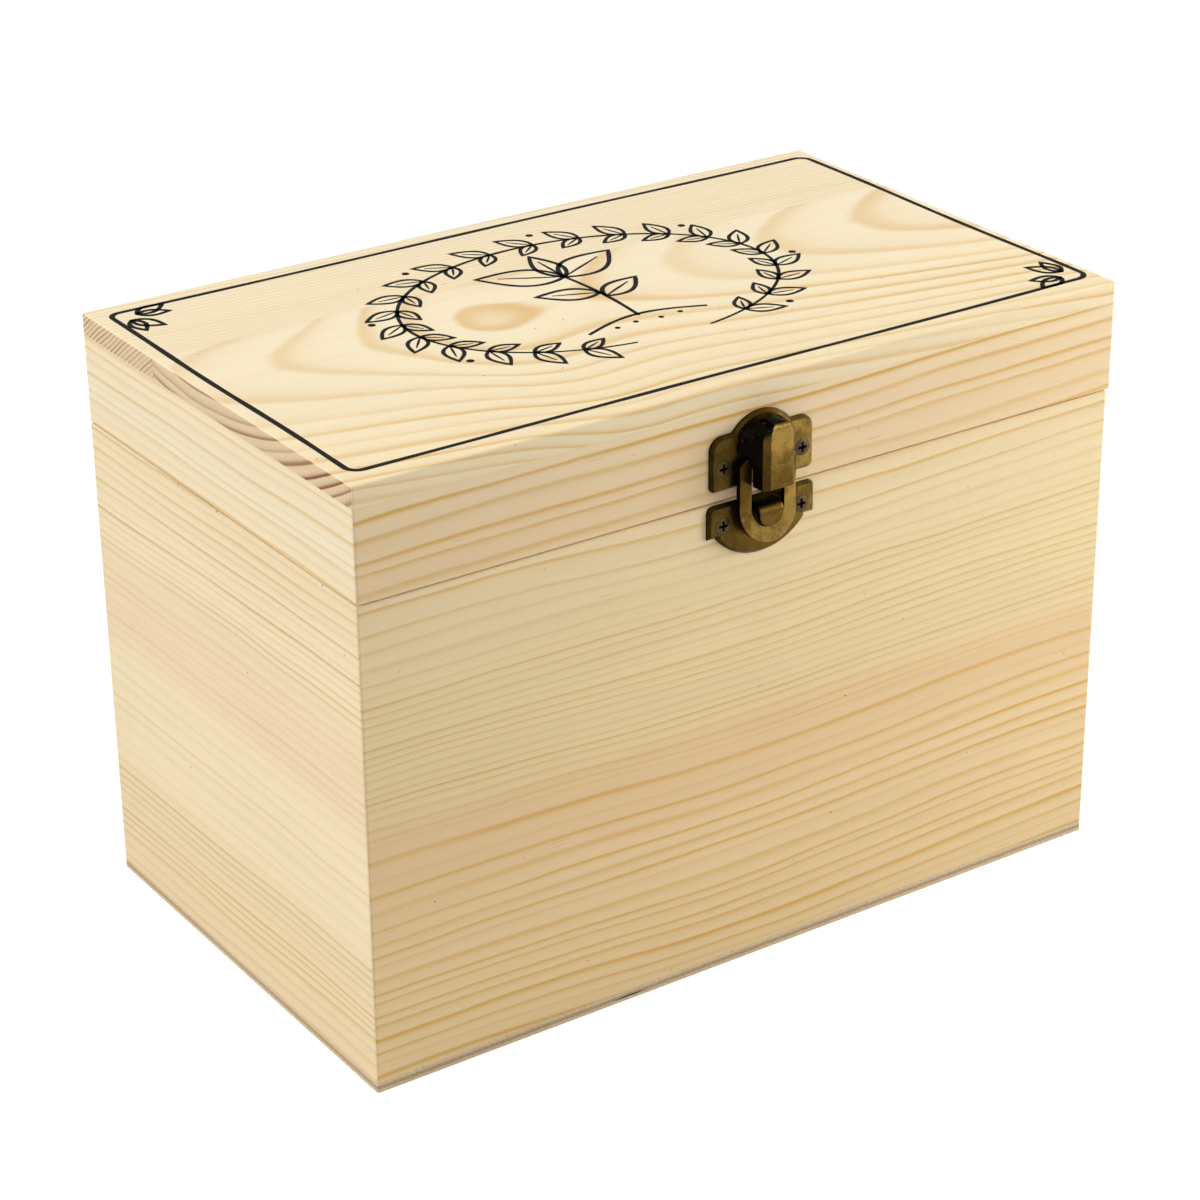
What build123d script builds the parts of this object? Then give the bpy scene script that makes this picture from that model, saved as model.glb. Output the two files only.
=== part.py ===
"""Hinged wooden seed box: mitred pine box and lid, loose dividers, two butt hinges and a toggle latch.

Millimetres. X runs along the front from left to right, the front face looks towards -Y, and Z is up.
The origin is the centre of the underside.
"""

import math
import os

from build123d import *

os.makedirs("parts", exist_ok=True)

# ---------------------------------------------------------------------------
# Driving dimensions
# ---------------------------------------------------------------------------

# The wooden box
box_length = 240.0
box_depth = 142.0
base_height = 138.4
lid_height = 31.3
seam_gap = 0.3
wall_thickness = 9.0
top_thickness = 6.0
floor_thickness = 3.0
lid_overhang = 1.0
corner_radius = 0.8
top_edge_radius = 0.7
seam_bevel = 0.35

# The loose dividers and the grooves that hold them
divider_count = 5
divider_thickness = 3.0
divider_height = 100.0
groove_depth = 3.0
groove_clearance = 0.15
notch_width = 44.0
notch_depth = 13.0
divider_corner_radius = 4.0
notch_round_share = 0.6

# Clearances shared by all pieces
pin_clearance = 0.05
screw_clearance = 0.1
ear_clearance = 0.15

# Brads that hold the floor
brad_radius = 0.6
brad_head_radius = 1.2
brad_head_height = 0.5
brad_length = 14.0
brad_inset = 30.0
brad_recess = 0.1

# The two butt hinges
hinge_inset = 50.0
hinge_length = 30.0
hinge_leaf_height = 11.0
hinge_leaf_thickness = 1.0
hinge_leaf_corner = 1.5
knuckle_count = 5
knuckle_radius = 2.0
knuckle_gap = 0.2
knuckle_standoff = 0.15
hinge_edge_clearance = 0.35
hinge_pin_radius = 0.95
hinge_pin_head_radius = 1.5
hinge_pin_head_height = 0.6
hinge_pin_head_rounding = 0.36
hinge_screw_spacing = 18.0
hinge_screw_head_radius = 1.9
hinge_screw_shank_radius = 0.9
hinge_screw_length = 7.0

# The latch: both plates
plate_thickness = 1.3
plate_bevel = 0.8
latch_screw_offset = 12.5
latch_screw_head_radius = 2.3
latch_screw_shank_radius = 1.05
latch_screw_length = 8.0

# The latch: upper plate, measured up from the seam
upper_plate_width = 32.6
upper_plate_rise = 3.3
shoulder_height = 15.0
shoulder_radius = 4.0
lower_corner_radius = 1.5
arch_radius = 11.5
arch_centre_rise = 8.1
upper_screw_rise = 6.3

# The latch: ears, lever and its pivot
lever_pivot_rise = 18.3
lever_pivot_depth = 5.5
lever_pin_radius = 0.75
lever_pin_length = 11.0
ear_thickness = 1.0
ear_inner_spacing = 4.4
ear_end_radius = 1.6
lever_width = 10.0
lever_foot_width = 10.6
lever_base_width = 16.6
lever_wall = 0.9
lever_end_radius = 3.9
lever_crest_radius = 2.0
lever_reach = 14.5
lever_waist_drop = 9.9
lever_shoulder_drop = 5.8
lever_facet_bevel = 1.5
lever_wrap_angle = 44
lever_back_rise = 0.6
lever_tip_radius = 0.8
skirt_drop = 5.3
skirt_gap = 0.25

# The latch: loop
loop_pivot_offset = 2.55
loop_pivot_drop = 1.6
loop_pin_radius = 0.70
loop_pin_reach = 6.7
loop_width = 18.0
loop_opening = 10.5
loop_thickness = 1.5
loop_inner_reach = 26.5
loop_outer_reach = 30.6
loop_lean = 2.0
loop_lean_height = 9.2
loop_lean_radius = 6.0
loop_arm_outer_width = 10.2
loop_arm_inner_width = 7.7
loop_neck_drop = 5.6
loop_neck_height = 2.9
loop_end_rise = 0.95
loop_end_radius = 0.6
loop_edge_radius = 0.35

# The latch: lower plate and its hook, measured down from the seam
lower_plate_width = 34.0
lower_plate_drop = 0.5
wing_height = 9.0
wing_corner_radius = 2.0
disc_width = 28.0
disc_radius = 18.2
disc_drop = 16.3
lower_screw_drop = 6.3
hook_width = 7.8
hook_top_drop = 1.6
hook_height = 6.4
hook_depth = 5.6
hook_wall = 1.1
hook_bend_radius = 3.0
hook_tip_radius = 3.7
hook_edge_radius = 0.4

# Screw heads
recess_width = 0.75
recess_share = 0.62
recess_depth = 0.9
recess_taper = 12.0
screw_crown = 0.35
screw_tip_length = 2.5

# ---------------------------------------------------------------------------
# Values worked out from them
# ---------------------------------------------------------------------------

base_length = box_length - lid_overhang
base_centre = -lid_overhang / 2
front_y = -box_depth / 2
back_y = box_depth / 2
inner_length = base_length - 2 * wall_thickness
inner_depth = box_depth - 2 * wall_thickness
wall_height = base_height - floor_thickness
lid_bottom = base_height + seam_gap
lid_wall_height = lid_height - top_thickness
box_height = lid_bottom + lid_height
seam_middle = base_height + seam_gap / 2

groove_width = divider_thickness + 2 * groove_clearance
divider_length = inner_depth + 2 * (groove_depth - groove_clearance)
compartment_length = (inner_length - divider_count * divider_thickness) / (divider_count + 1)
divider_pitch = compartment_length + divider_thickness
first_divider = base_centre - divider_pitch * (divider_count - 1) / 2
divider_places = [first_divider + divider_pitch * index for index in range(divider_count)]

hinge_axis_y = back_y + knuckle_radius + knuckle_standoff
hinge_reach = box_length / 2 - hinge_inset
hinge_centres = {"left": -hinge_reach, "right": hinge_reach}
knuckle_pitch = hinge_length / knuckle_count
hinge_leaf_edge = knuckle_radius + hinge_edge_clearance
hinge_screw_drop = hinge_leaf_edge + hinge_leaf_height / 2

upper_plate_bottom = seam_middle + upper_plate_rise
upper_screw_height = seam_middle + upper_screw_rise + upper_plate_rise
arch_centre_height = upper_plate_bottom + arch_centre_rise
pivot_height = seam_middle + lever_pivot_rise
pivot_y = front_y - lever_pivot_depth
loop_pivot_depth = lever_pivot_depth - loop_pivot_offset
loop_pivot_y = front_y - loop_pivot_depth
loop_pivot_height = pivot_height - loop_pivot_drop
lower_plate_top = seam_middle - lower_plate_drop
lower_screw_height = seam_middle - lower_screw_drop
hook_top = seam_middle - hook_top_drop

front_plane = Plane(origin=(0, front_y, 0), x_dir=(1, 0, 0), z_dir=(0, -1, 0))


def front_place(across, height, depth=0.0):
    """Plane on the front of the box, looking out, a given depth in front of the wood."""
    return Plane(origin=(across, front_y - depth, height), x_dir=(1, 0, 0), z_dir=(0, -1, 0))


def back_place(across, height, depth=0.0):
    """Plane on the back of the box, looking out, a given depth behind the wood."""
    return Plane(origin=(across, back_y + depth, height), x_dir=(-1, 0, 0), z_dir=(0, 1, 0))


upper_screw_places = [(side * latch_screw_offset, upper_screw_height) for side in (-1, 1)]
lower_screw_places = [(side * latch_screw_offset, lower_screw_height) for side in (-1, 1)]
hinge_screw_across = [
    centre + side * hinge_screw_spacing / 2 for centre in hinge_centres.values() for side in (-1, 1)
]


def save(piece, name):
    """Label a finished piece and write its file."""
    piece.part.label = name
    export_step(piece.part, f"parts/{name}.step")


# ---------------------------------------------------------------------------
# Mitred boards
# ---------------------------------------------------------------------------


def long_board_outline(length, centre, side):
    """Section of a front (side -1) or back (side 1) board, mitred at 45 degrees at both ends."""
    with Locations((centre, 0)):
        RectangleRounded(length, box_depth, corner_radius)
    outer = side * box_depth / 2
    inner = outer - side * wall_thickness
    left = centre - length / 2
    right = centre + length / 2
    Polygon(
        (left, outer),
        (right, outer),
        (right - wall_thickness, inner),
        (left + wall_thickness, inner),
        align=None,
        mode=Mode.INTERSECT,
    )


def end_board_outline(length, centre, side):
    """Section of a left (side -1) or right (side 1) board, mitred at 45 degrees at both ends."""
    with Locations((centre, 0)):
        RectangleRounded(length, box_depth, corner_radius)
    outer = centre + side * length / 2
    inner = outer - side * wall_thickness
    reach = box_depth / 2
    Polygon(
        (outer, -reach),
        (outer, reach),
        (inner, reach - wall_thickness),
        (inner, -reach + wall_thickness),
        align=None,
        mode=Mode.INTERSECT,
    )


def soften_seam_edge(board, along, outward, seam_is_top):
    """Take the sharp arris off the outer edge where lid and base meet."""
    level = board.edges().filter_by(along).group_by(Axis.Z)[-1 if seam_is_top else 0]
    outer_edge = level.sort_by(Axis(origin=(0, 0, 0), direction=outward))[-1]
    chamfer(outer_edge, seam_bevel)


def bore_pilots(places, radius, length):
    """Blind pilot holes into the wood, a little wider and deeper than the screws."""
    depth = length + screw_clearance
    with Locations(*places):
        Cylinder(
            radius + screw_clearance,
            depth,
            align=(Align.CENTER, Align.CENTER, Align.MAX),
            mode=Mode.SUBTRACT,
        )


# Brads stand under the middle of each wall, near its ends.
long_wall_y = (box_depth - wall_thickness) / 2
end_wall_x = (base_length - wall_thickness) / 2
long_brads = [
    (base_centre + across * (base_length / 2 - brad_inset), side * long_wall_y)
    for side in (-1, 1)
    for across in (-1, 0, 1)
]
end_brads = [
    (base_centre + side * end_wall_x, along * (box_depth / 2 - brad_inset))
    for side in (-1, 1)
    for along in (-1, 1)
]
brad_places = long_brads + end_brads


def bore_brads(bottom):
    """Holes for the brads, from the given height upwards."""
    with Locations(*[(x, y, bottom) for x, y in brad_places]):
        Cylinder(
            brad_radius + pin_clearance,
            brad_length + brad_recess + screw_clearance - bottom,
            align=(Align.CENTER, Align.CENTER, Align.MIN),
            mode=Mode.SUBTRACT,
        )


def cut_grooves(side):
    """Upright grooves for the dividers in the inner face of a long wall."""
    groove_y = side * (inner_depth / 2 + groove_depth / 2)
    with BuildSketch(Plane.XY.offset(floor_thickness)) as grooves:
        with Locations(*[(place, groove_y) for place in divider_places]):
            Rectangle(groove_width, groove_depth)
    extrude(grooves.sketch, amount=wall_height, mode=Mode.SUBTRACT)


latch_lower_pilots = [front_place(x, z) for x, z in lower_screw_places]
latch_upper_pilots = [front_place(x, z) for x, z in upper_screw_places]
hinge_lower_pilots = [back_place(x, seam_middle - hinge_screw_drop) for x in hinge_screw_across]
hinge_upper_pilots = [back_place(x, seam_middle + hinge_screw_drop) for x in hinge_screw_across]
latch_pilot_depth = latch_screw_length - plate_thickness
hinge_pilot_depth = hinge_screw_length - hinge_leaf_thickness

# Front wall: grooved inside, with pilot holes for the latch's lower plate
with BuildPart() as front_wall:
    with BuildSketch(Plane.XY.offset(floor_thickness)):
        long_board_outline(base_length, base_centre, -1)
    extrude(amount=wall_height)
    soften_seam_edge(front_wall, Axis.X, (0, -1, 0), seam_is_top=True)
    cut_grooves(-1)
    bore_pilots(latch_lower_pilots, latch_screw_shank_radius, latch_pilot_depth)
    bore_brads(floor_thickness)
save(front_wall, "front_wall")

# Back wall: grooved inside, with pilot holes for the hinges' lower leaves
with BuildPart() as back_wall:
    with BuildSketch(Plane.XY.offset(floor_thickness)):
        long_board_outline(base_length, base_centre, 1)
    extrude(amount=wall_height)
    soften_seam_edge(back_wall, Axis.X, (0, 1, 0), seam_is_top=True)
    cut_grooves(1)
    bore_pilots(hinge_lower_pilots, hinge_screw_shank_radius, hinge_pilot_depth)
    bore_brads(floor_thickness)
save(back_wall, "back_wall")

# End walls
for name, side in (("left_wall", -1), ("right_wall", 1)):
    with BuildPart() as end_wall:
        with BuildSketch(Plane.XY.offset(floor_thickness)):
            end_board_outline(base_length, base_centre, side)
        extrude(amount=wall_height)
        soften_seam_edge(end_wall, Axis.Y, (side, 0, 0), seam_is_top=True)
        bore_brads(floor_thickness)
    save(end_wall, name)

# Floor: thin plywood nailed up into the walls
with BuildPart() as bottom_panel:
    with BuildSketch(Plane.XY):
        with Locations((base_centre, 0)):
            RectangleRounded(base_length, box_depth, corner_radius)
    extrude(amount=floor_thickness)
    bore_brads(0)
    with Locations(*[(x, y, 0) for x, y in brad_places]):
        Cylinder(
            brad_head_radius + pin_clearance,
            brad_head_height + brad_recess,
            align=(Align.CENTER, Align.CENTER, Align.MIN),
            mode=Mode.SUBTRACT,
        )
save(bottom_panel, "bottom_panel")

# One brad, head down and point up, and the group of all of them
with BuildPart() as brad:
    with BuildSketch(Plane.XZ):
        with BuildLine():
            Polyline(
                (0, 0),
                (brad_head_radius, 0),
                (brad_head_radius, brad_head_height),
                (brad_radius, brad_head_height),
                (brad_radius, brad_length - 2 * brad_radius),
                (0, brad_length),
                close=True,
            )
        make_face()
    revolve(axis=Axis.Z)

with BuildPart() as bottom_brads:
    with Locations(*[(x, y, brad_recess) for x, y in brad_places]):
        add(brad.part)
save(bottom_brads, "bottom_brads")

# ---------------------------------------------------------------------------
# Dividers: plywood boards with a dip for the finger, standing in the grooves
# ---------------------------------------------------------------------------

divider_top = floor_thickness + divider_height
for index, place in enumerate(divider_places):
    with BuildPart() as divider:
        with BuildSketch(Plane.YZ.offset(place)):
            with Locations((0, floor_thickness)):
                Rectangle(divider_length, divider_height, align=(Align.CENTER, Align.MIN))
            fillet(vertices().group_by(Axis.Y)[-1], divider_corner_radius)
            with Locations((0, divider_top)):
                Rectangle(notch_width, 2 * notch_depth, mode=Mode.SUBTRACT)
            fillet(vertices().group_by(Axis.Y)[1], notch_depth * notch_round_share)
            top_corners = vertices().group_by(Axis.Y)[-1]
            notch_lips = top_corners.filter_by_position(Axis.X, -notch_width, notch_width)
            fillet(notch_lips.sort_by(lambda corner: abs(corner.X))[:2], divider_corner_radius)
        extrude(amount=divider_thickness / 2, both=True)
    save(divider, f"divider_{index + 1}")

# ---------------------------------------------------------------------------
# Lid: four mitred strips under a flat top board
# ---------------------------------------------------------------------------

with BuildPart() as lid_front_wall:
    with BuildSketch(Plane.XY.offset(lid_bottom)):
        long_board_outline(box_length, 0, -1)
    extrude(amount=lid_wall_height)
    soften_seam_edge(lid_front_wall, Axis.X, (0, -1, 0), seam_is_top=False)
    bore_pilots(latch_upper_pilots, latch_screw_shank_radius, latch_pilot_depth)
save(lid_front_wall, "lid_front_wall")

with BuildPart() as lid_back_wall:
    with BuildSketch(Plane.XY.offset(lid_bottom)):
        long_board_outline(box_length, 0, 1)
    extrude(amount=lid_wall_height)
    soften_seam_edge(lid_back_wall, Axis.X, (0, 1, 0), seam_is_top=False)
    bore_pilots(hinge_upper_pilots, hinge_screw_shank_radius, hinge_pilot_depth)
save(lid_back_wall, "lid_back_wall")

for name, side in (("lid_left_wall", -1), ("lid_right_wall", 1)):
    with BuildPart() as lid_end_wall:
        with BuildSketch(Plane.XY.offset(lid_bottom)):
            end_board_outline(box_length, 0, side)
        extrude(amount=lid_wall_height)
        soften_seam_edge(lid_end_wall, Axis.Y, (side, 0, 0), seam_is_top=False)
    save(lid_end_wall, name)

with BuildPart() as lid_top:
    with BuildSketch(Plane.XY.offset(box_height - top_thickness)):
        RectangleRounded(box_length, box_depth, corner_radius)
    extrude(amount=top_thickness)
    fillet(lid_top.faces().sort_by(Axis.Z)[-1].outer_wire().edges(), top_edge_radius)
save(lid_top, "lid_top")

# ---------------------------------------------------------------------------
# Wood screws with an oval countersunk head and a cross recess
# ---------------------------------------------------------------------------


def wood_screw(head_radius, shank_radius, length):
    """Screw along -Z: its head's rim lies at z = 0 and its point at -length."""
    cone_height = head_radius - shank_radius
    with BuildPart() as screw:
        with BuildSketch(Plane.XZ):
            with BuildLine():
                crown = TangentArc((0, screw_crown), (head_radius, 0), tangent=(1, 0))
                Polyline(
                    crown @ 1,
                    (shank_radius, -cone_height),
                    (shank_radius, screw_tip_length - length),
                    (0, -length),
                    crown @ 0,
                )
            make_face()
        revolve(axis=Axis.Z)
        with BuildSketch(Plane.XY.offset(screw_crown)):
            Rectangle(2 * head_radius * recess_share, recess_width)
            Rectangle(recess_width, 2 * head_radius * recess_share)
        extrude(amount=-recess_depth, taper=recess_taper, mode=Mode.SUBTRACT)
    return screw.part


def screw_hole(head_radius, shank_radius):
    """Countersunk hole through a sheet, parallel to the screw's cone and a little wider."""
    CounterSinkHole(
        shank_radius + screw_clearance,
        head_radius + screw_clearance,
        counter_sink_angle=90,
    )


latch_screw = wood_screw(latch_screw_head_radius, latch_screw_shank_radius, latch_screw_length)
hinge_screw = wood_screw(hinge_screw_head_radius, hinge_screw_shank_radius, hinge_screw_length)

with BuildPart() as latch_upper_screws:
    with Locations(*[front_place(x, z, plate_thickness) for x, z in upper_screw_places]):
        add(latch_screw)
save(latch_upper_screws, "latch_upper_screws")

with BuildPart() as latch_lower_screws:
    with Locations(*[front_place(x, z, plate_thickness) for x, z in lower_screw_places]):
        add(latch_screw)
save(latch_lower_screws, "latch_lower_screws")

# ---------------------------------------------------------------------------
# Butt hinges: sheet leaves rolled round a loose pin, screwed to the back
# ---------------------------------------------------------------------------


def hinge_leaf(centre, way, first_knuckle):
    """One leaf below (way -1) or above (way 1) the pin, with every second knuckle from the first."""
    leaf_middle = seam_middle + way * hinge_screw_drop
    edge_height = seam_middle + way * hinge_leaf_edge
    with BuildPart() as leaf:
        with BuildSketch(back_place(centre, leaf_middle)):
            RectangleRounded(hinge_length, hinge_leaf_height, hinge_leaf_corner)
        extrude(amount=hinge_leaf_thickness)
        for index in range(first_knuckle, knuckle_count, 2):
            across = centre - hinge_length / 2 + knuckle_pitch * (index + 0.5)
            with BuildSketch(Plane.YZ.offset(across)):
                with Locations((hinge_axis_y, seam_middle)):
                    Circle(knuckle_radius)
                Polygon(
                    (back_y, edge_height + way * hinge_leaf_corner),
                    (back_y + hinge_leaf_thickness, edge_height + way * hinge_leaf_corner),
                    (back_y + hinge_leaf_thickness + knuckle_standoff, seam_middle),
                    (back_y + knuckle_standoff, seam_middle),
                    align=None,
                )
            extrude(amount=(knuckle_pitch - knuckle_gap) / 2, both=True)
        with Locations((centre, hinge_axis_y, seam_middle)):
            Cylinder(
                hinge_pin_radius + pin_clearance,
                hinge_length,
                rotation=(0, 90, 0),
                mode=Mode.SUBTRACT,
            )
        holes = [
            back_place(centre + side * hinge_screw_spacing / 2, leaf_middle, hinge_leaf_thickness)
            for side in (-1, 1)
        ]
        with Locations(*holes):
            screw_hole(hinge_screw_head_radius, hinge_screw_shank_radius)
    return leaf


for side_name, hinge_centre in hinge_centres.items():
    base_leaf = hinge_leaf(hinge_centre, -1, 0)
    save(base_leaf, f"{side_name}_hinge_base_leaf")
    lid_leaf = hinge_leaf(hinge_centre, 1, 1)
    save(lid_leaf, f"{side_name}_hinge_lid_leaf")

    pin_reach = hinge_length / 2
    with BuildPart() as hinge_pin:
        with Locations((hinge_centre, hinge_axis_y, seam_middle)):
            Cylinder(hinge_pin_radius, 2 * pin_reach, rotation=(0, 90, 0))
        for side in (-1, 1):
            head_middle = hinge_centre + side * (pin_reach + hinge_pin_head_height / 2)
            with Locations((head_middle, hinge_axis_y, seam_middle)):
                Cylinder(hinge_pin_head_radius, hinge_pin_head_height, rotation=(0, 90, 0))
        rims = hinge_pin.edges().filter_by(GeomType.CIRCLE).sort_by(Axis.X)
        fillet([rims[0], rims[-1]], hinge_pin_head_rounding)
    save(hinge_pin, f"{side_name}_hinge_pin")

    for leaf_name, way in (("base", -1), ("lid", 1)):
        places = [
            back_place(
                hinge_centre + side * hinge_screw_spacing / 2,
                seam_middle + way * hinge_screw_drop,
                hinge_leaf_thickness,
            )
            for side in (-1, 1)
        ]
        with BuildPart() as hinge_screws:
            with Locations(*places):
                add(hinge_screw)
        save(hinge_screws, f"{side_name}_hinge_{leaf_name}_screws")

# ---------------------------------------------------------------------------
# Latch, upper plate: an arched stamping with two ears for the lever's pin
# ---------------------------------------------------------------------------

with BuildPart() as latch_upper_plate:
    with BuildSketch(front_plane):
        with Locations((0, arch_centre_height)):
            Circle(arch_radius)
        with Locations((0, upper_plate_bottom)):
            Rectangle(
                upper_plate_width,
                arch_centre_rise + arch_radius,
                align=(Align.CENTER, Align.MIN),
                mode=Mode.INTERSECT,
            )
            Rectangle(upper_plate_width, shoulder_height, align=(Align.CENTER, Align.MIN))
        fillet(vertices().group_by(Axis.Y)[0], lower_corner_radius)
        upper_corners = vertices().filter_by(lambda corner: corner.Y > arch_centre_height)
        fillet(upper_corners.sort_by(lambda corner: abs(corner.X))[-2:], shoulder_radius)
    extrude(amount=plate_thickness)
    chamfer(latch_upper_plate.faces().sort_by(Axis.Y)[0].outer_wire().edges(), plate_bevel)
    for side in (-1, 1):
        ear_start = side * ear_inner_spacing / 2
        with BuildSketch(Plane.YZ.offset(ear_start)):
            with Locations((front_y, pivot_height)):
                Rectangle(
                    lever_pivot_depth,
                    2 * ear_end_radius,
                    align=(Align.MAX, Align.CENTER),
                )
            with Locations((pivot_y, pivot_height)):
                Circle(ear_end_radius)
        extrude(amount=side * ear_thickness)
    with Locations((0, pivot_y, pivot_height)):
        Cylinder(
            lever_pin_radius + pin_clearance,
            lever_pin_length,
            rotation=(0, 90, 0),
            mode=Mode.SUBTRACT,
        )
    with Locations(*[front_place(x, z, plate_thickness) for x, z in upper_screw_places]):
        screw_hole(latch_screw_head_radius, latch_screw_shank_radius)
save(latch_upper_plate, "latch_upper_plate")

# ---------------------------------------------------------------------------
# Latch, lever: a deep-drawn hood. Its flat front narrows from a bell-shaped skirt that
# covers the loop's arms, and its upper end is rounded behind the pivot.
# ---------------------------------------------------------------------------

hood_front_depth = lever_pivot_depth + lever_end_radius
hood_back_depth = lever_pivot_depth - lever_end_radius
hood_bottom = pivot_height - lever_reach
hood_top = pivot_height + lever_end_radius
hood_waist = pivot_height - lever_waist_drop
hood_shoulder = pivot_height - lever_shoulder_drop
skirt_bottom = pivot_height - skirt_drop
loop_front_depth = loop_pivot_depth + loop_thickness / 2
beyond_hood = 2 * lever_reach
bevel_offset = math.sqrt(2) - 1


def hood_section(depth, foot_half, upper_half, top, bottom):
    """Front view at one depth: straight sides that widen above the waist to a half round."""
    arc_height = top - upper_half
    with BuildSketch(front_place(0, 0, depth)) as section:
        with BuildLine():
            lower = Polyline(
                (-upper_half, arc_height),
                (-upper_half, hood_shoulder),
                (-foot_half, hood_waist),
                (-foot_half, bottom),
                (foot_half, bottom),
                (foot_half, hood_waist),
                (upper_half, hood_shoulder),
                (upper_half, arc_height),
            )
            ThreePointArc(lower @ 1, (0, top), lower @ 0)
        make_face()
    return section.sketch


def hood_side(inset, back_depth):
    """Side view: a straight front, a small round at the crest and a large one behind the pivot."""
    radius = lever_end_radius - inset
    side_start = pivot_y - radius
    side_width = front_y - back_depth - side_start
    with BuildSketch(Plane.YZ) as outline:
        with Locations((pivot_y, pivot_height)):
            Circle(radius)
        with Locations((side_start, pivot_height)):
            Rectangle(side_width, beyond_hood, align=(Align.MIN, Align.MAX))
            Rectangle(radius, radius, align=(Align.MIN, Align.MIN))
        front_crest = vertices().group_by(Axis.Y)[-1].sort_by(Axis.X)[0]
        fillet(front_crest, lever_crest_radius - inset)
    return outline.sketch


def hood_form(inset, bottom, back_depth):
    """Solid form of the hood, drawn in by the inset: flared cheeks, a bevel and a flat facet."""
    corner_inset = inset * bevel_offset
    top = hood_top - inset
    half = lever_width / 2 - inset
    facet_half = lever_width / 2 - lever_facet_bevel - corner_inset
    base = hood_section(
        hood_back_depth, lever_foot_width / 2 - inset, lever_base_width / 2 - inset, top, bottom
    )
    middle = hood_section(hood_front_depth - lever_facet_bevel - corner_inset, half, half, top, bottom)
    facet = hood_section(hood_front_depth - inset, facet_half, facet_half, top, bottom)
    with BuildPart() as form:
        loft(sections=[base, middle], ruled=True)
        loft(sections=[middle, facet], ruled=True)
        if back_depth < hood_back_depth:
            extrude(base, amount=back_depth - hood_back_depth)
        extrude(hood_side(inset, back_depth), amount=lever_base_width, both=True, mode=Mode.INTERSECT)
    return form.part


hood_cavity = hood_form(lever_wall, hood_bottom - lever_reach, 0)

with BuildPart() as latch_lever:
    add(hood_form(0, hood_bottom, hood_back_depth))
    lower_front_edge = latch_lever.edges().filter_by(Axis.X).group_by(Axis.Z)[0].sort_by(Axis.Y)[0]
    fillet(lower_front_edge, lever_tip_radius)
    add(hood_cavity, mode=Mode.SUBTRACT)
    # Below the skirt the rim stays in front of the loop's arms.
    with BuildSketch(Plane.YZ):
        with Locations((front_y - loop_front_depth - skirt_gap, skirt_bottom)):
            Rectangle(beyond_hood, beyond_hood, align=(Align.MIN, Align.MAX))
    extrude(amount=lever_base_width, both=True, mode=Mode.SUBTRACT)
    # The round end is open at the back, where the loop's arms swing.
    with BuildSketch(Plane.YZ):
        with Locations((front_y - loop_front_depth, pivot_height + lever_back_rise)):
            Rectangle(beyond_hood, beyond_hood, align=(Align.MIN, Align.MAX))
    extrude(amount=loop_arm_outer_width / 2 + skirt_gap / 2, both=True, mode=Mode.SUBTRACT)
    # Two slots in the round end let it turn past the plate's ears.
    wrap_y = -math.cos(math.radians(lever_wrap_angle))
    wrap_z = math.sin(math.radians(lever_wrap_angle))
    past_radius = 2 * lever_end_radius
    for side in (-1, 1):
        slot_middle = side * (ear_inner_spacing + ear_thickness) / 2
        with BuildSketch(Plane.YZ.offset(slot_middle)):
            Polygon(
                (pivot_y, pivot_height),
                (pivot_y + past_radius * wrap_y, pivot_height + past_radius * wrap_z),
                (pivot_y + past_radius, pivot_height + past_radius),
                (pivot_y + past_radius, pivot_height),
                align=None,
            )
        extrude(amount=ear_thickness / 2 + ear_clearance, both=True, mode=Mode.SUBTRACT)
    with Locations((0, pivot_y, pivot_height)):
        Cylinder(
            lever_pin_radius + pin_clearance,
            lever_base_width,
            rotation=(0, 90, 0),
            mode=Mode.SUBTRACT,
        )
    with Locations((0, loop_pivot_y, loop_pivot_height)):
        Cylinder(
            loop_pin_radius + pin_clearance,
            lever_base_width,
            rotation=(0, 90, 0),
            mode=Mode.SUBTRACT,
        )
save(latch_lever, "latch_lever")

with BuildPart() as latch_lever_pin:
    with Locations((0, pivot_y, pivot_height)):
        Cylinder(lever_pin_radius, lever_pin_length, rotation=(0, 90, 0))
save(latch_lever_pin, "latch_lever_pin")

# ---------------------------------------------------------------------------
# Latch, loop: a flat ring whose two arms narrow at a neck and end in short pins
# ---------------------------------------------------------------------------

loop_back = loop_pivot_depth - loop_thickness / 2
loop_arm_top = loop_pivot_height + loop_end_rise
loop_neck_top = pivot_height - loop_neck_drop
loop_neck_bottom = loop_neck_top - loop_neck_height
outer_turn_height = pivot_height - loop_outer_reach + loop_width / 2
inner_turn_height = pivot_height - loop_inner_reach + loop_opening / 2


def link_outline(width, arm_width, turn_height, top, mode):
    """A half round below, straight sides, and a neck that draws them in to the arms."""
    with Locations((0, turn_height)):
        Circle(width / 2, mode=mode)
    Polygon(
        (-width / 2, turn_height),
        (width / 2, turn_height),
        (width / 2, loop_neck_bottom),
        (arm_width / 2, loop_neck_top),
        (arm_width / 2, top),
        (-arm_width / 2, top),
        (-arm_width / 2, loop_neck_top),
        (-width / 2, loop_neck_bottom),
        align=None,
        mode=mode,
    )


loop_bottom = pivot_height - loop_outer_reach
lean_start = loop_bottom + loop_lean_height
loop_back_y = front_y - loop_back
loop_front_y = loop_back_y - loop_thickness

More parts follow.
